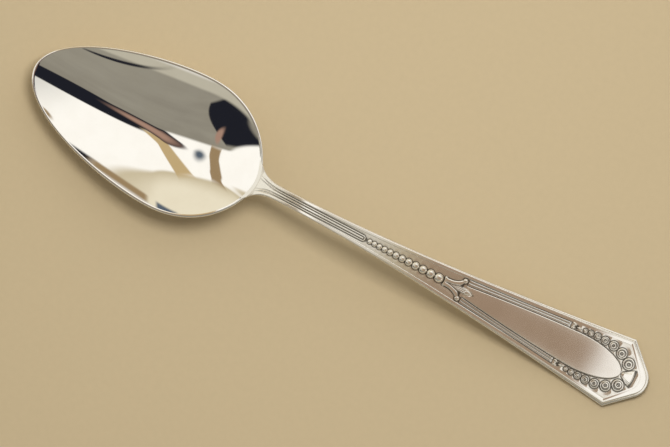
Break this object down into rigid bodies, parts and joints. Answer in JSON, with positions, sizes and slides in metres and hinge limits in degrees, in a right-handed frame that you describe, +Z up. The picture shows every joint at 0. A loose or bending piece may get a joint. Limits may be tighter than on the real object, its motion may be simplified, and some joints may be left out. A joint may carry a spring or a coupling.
{
  "type": "tablespoon",
  "caption": "Silver tablespoon with an egg-shaped bowl, reeded neck, graduated beads and a tapered handle with a brushed panel, scroll rosettes and a pointed end.",
  "frame": {"origin": "on the table under the middle of the spoon's length and width", "axes": "+X along the spoon from the bowl tip to the handle end, +Y to its left side, +Z up out of the bowl"},
  "size_m": [0.21, 0.044, 0.019],
  "materials": {
    "polished_bowl": "mirror-polished silver with fine wear scratches",
    "satin_handle": "satin silver with dark oxidised recesses",
    "brushed_panel": "softly brushed silver panel",
    "bright_ornament": "polished silver relief with dark oxide in the hollows"
  },
  "bodies": {
    "root": {"bowl": "polished_bowl", "stem": "satin_handle", "handle_plate": "satin_handle", "border_moulding": "bright_ornament", "stem_rib": "bright_ornament", "stem_reed": "bright_ornament", "cartouche_panel": "brushed_panel", "calyx_collar": "bright_ornament", "calyx_tongue": "bright_ornament", "keystone": "bright_ornament", "calyx_petal_left": "bright_ornament", "calyx_petal_right": "bright_ornament", "thread_left": "bright_ornament", "thread_right": "bright_ornament", "sprig_left": "bright_ornament", "sprig_right": "bright_ornament", "bead_1": "bright_ornament", "bead_2": "bright_ornament", "bead_3": "bright_ornament", "bead_4": "bright_ornament", "bead_5": "bright_ornament", "bead_6": "bright_ornament", "bead_7": "bright_ornament", "bead_8": "bright_ornament", "bead_9": "bright_ornament", "bead_10": "bright_ornament", "bead_11": "bright_ornament", "bead_12": "bright_ornament", "rosette_left_1": "bright_ornament", "rosette_left_2": "bright_ornament", "rosette_left_3": "bright_ornament", "rosette_left_4": "bright_ornament", "rosette_left_5": "bright_ornament", "rosette_left_6": "bright_ornament", "rosette_left_7": "bright_ornament", "rosette_right_1": "bright_ornament", "rosette_right_2": "bright_ornament", "rosette_right_3": "bright_ornament", "rosette_right_4": "bright_ornament", "rosette_right_5": "bright_ornament", "rosette_right_6": "bright_ornament", "rosette_right_7": "bright_ornament"}
  },
  "joints": []
}
